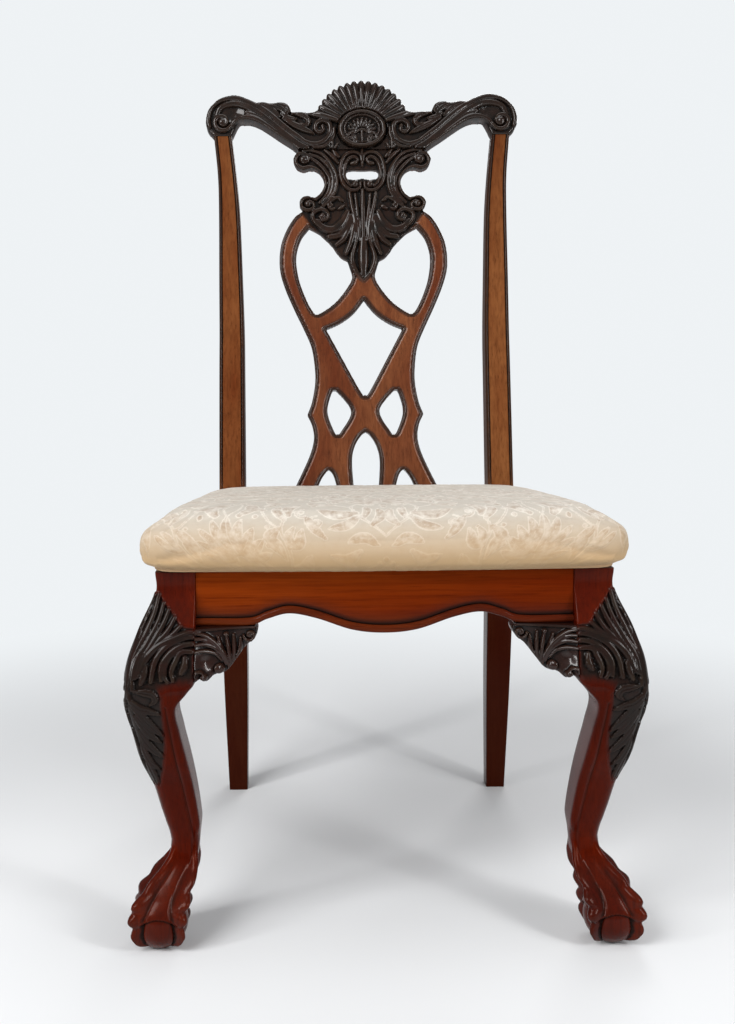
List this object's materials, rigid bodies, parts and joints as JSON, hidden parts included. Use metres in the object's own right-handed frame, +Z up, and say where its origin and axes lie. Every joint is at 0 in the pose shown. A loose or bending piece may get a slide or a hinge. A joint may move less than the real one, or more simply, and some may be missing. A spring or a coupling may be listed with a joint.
{
  "type": "carved dining chair",
  "caption": "Carved mahogany side chair with cabriole front legs on ball-and-claw feet, a pierced splat under a shell crest, and an upholstered seat.",
  "frame": {"origin": "on the floor, under the middle of the chair's bounding box", "axes": "+Z up, -Y the way the chair faces, +X on the right of someone who looks at its front"},
  "size_m": [0.5844, 0.6166, 1.091],
  "materials": {
    "mahogany": "glossy red-brown lacquer",
    "carved_mahogany": "dark antique glaze with rubbed highlights",
    "block_pine": "bare softwood",
    "dowel_beech": "bare beech",
    "screw_steel": "zinc plated",
    "seat_fabric": "woven damask with a slight sheen",
    "foam": "polyurethane foam",
    "plywood": "bare plywood",
    "cambric": "black non-woven cloth"
  },
  "bodies": {
    "root": {"back_post_left": "mahogany", "back_post_right": "mahogany", "back_rail": "mahogany", "block_screw_back_left_1": "screw_steel", "block_screw_back_left_2": "screw_steel", "block_screw_back_right_1": "screw_steel", "block_screw_back_right_2": "screw_steel", "block_screw_front_left_1": "screw_steel", "block_screw_front_left_2": "screw_steel", "block_screw_front_right_1": "screw_steel", "block_screw_front_right_2": "screw_steel", "corner_block_back_left": "block_pine", "corner_block_back_right": "block_pine", "corner_block_front_left": "block_pine", "corner_block_front_right": "block_pine", "crest_rail": "carved_mahogany", "dowel_back_left_lower": "dowel_beech", "dowel_back_left_upper": "dowel_beech", "dowel_back_right_lower": "dowel_beech", "dowel_back_right_upper": "dowel_beech", "dowel_crest_left": "dowel_beech", "dowel_crest_right": "dowel_beech", "dowel_front_left_lower": "dowel_beech", "dowel_front_left_upper": "dowel_beech", "dowel_front_right_lower": "dowel_beech", "dowel_front_right_upper": "dowel_beech", "dowel_side_back_left_lower": "dowel_beech", "dowel_side_back_left_upper": "dowel_beech", "dowel_side_back_right_lower": "dowel_beech", "dowel_side_back_right_upper": "dowel_beech", "dowel_side_front_left_lower": "dowel_beech", "dowel_side_front_left_upper": "dowel_beech", "dowel_side_front_right_lower": "dowel_beech", "dowel_side_front_right_upper": "dowel_beech", "dust_cover": "cambric", "front_leg_left": "mahogany", "front_leg_right": "mahogany", "front_rail": "mahogany", "knee_bracket_front_left": "carved_mahogany", "knee_bracket_front_right": "carved_mahogany", "knee_bracket_side_left": "carved_mahogany", "knee_bracket_side_right": "carved_mahogany", "seat_board": "plywood", "seat_cover": "seat_fabric", "seat_foam": "foam", "seat_screw_back_left": "screw_steel", "seat_screw_back_right": "screw_steel", "seat_screw_front_left": "screw_steel", "seat_screw_front_right": "screw_steel", "side_rail_left": "mahogany", "side_rail_right": "mahogany", "splat": "carved_mahogany", "splat_shoe": "mahogany"}
  },
  "joints": []
}
